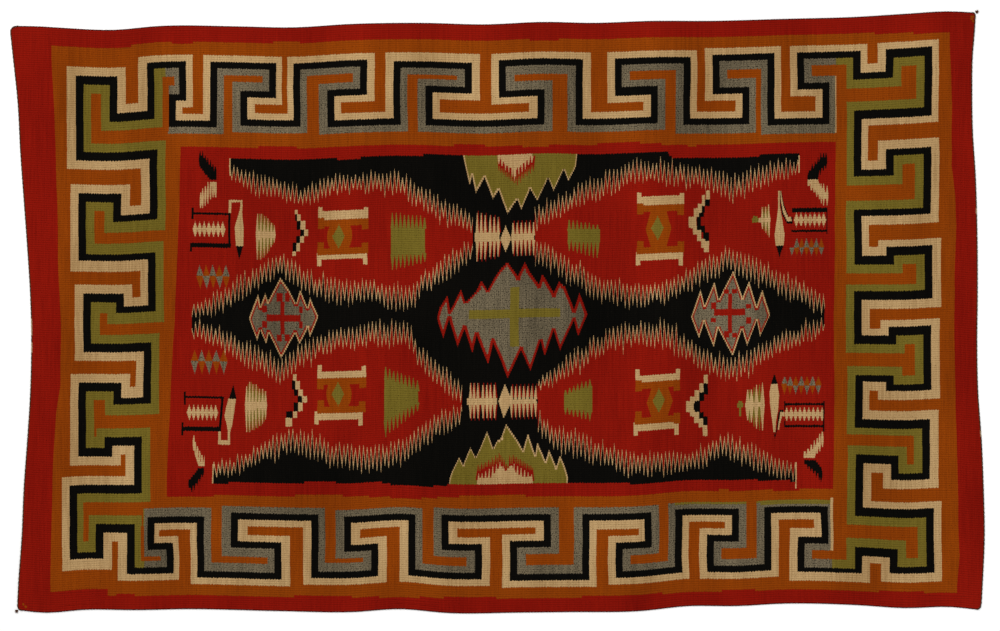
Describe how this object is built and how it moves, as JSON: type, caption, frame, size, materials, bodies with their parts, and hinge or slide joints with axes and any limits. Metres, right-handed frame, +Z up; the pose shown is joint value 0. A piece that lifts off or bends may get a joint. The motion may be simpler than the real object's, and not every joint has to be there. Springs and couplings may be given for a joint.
{
  "type": "navajo rug",
  "caption": "Flat hand-woven wool rug with raised weave ribs, slightly wavy edges, dark edging cords and small corner ties.",
  "frame": {"origin": "middle of the rug's bounding box, on the floor that it lies on", "axes": "+X along the long side, which the warps follow, +Y along the short side, +Z up through the thickness"},
  "size_m": [1.9504, 1.2071, 0.0039],
  "materials": {
    "wool_red": "matte ribbed wool weave",
    "wool_cord_dark": "matte twisted wool"
  },
  "bodies": {
    "root": {"rug_body": "wool_red", "end_cord_left": "wool_cord_dark", "end_cord_right": "wool_cord_dark", "side_cord_top": "wool_cord_dark", "side_cord_bottom": "wool_cord_dark", "corner_tie_top_right": "wool_cord_dark", "corner_tie_bottom_left": "wool_cord_dark"}
  },
  "joints": []
}
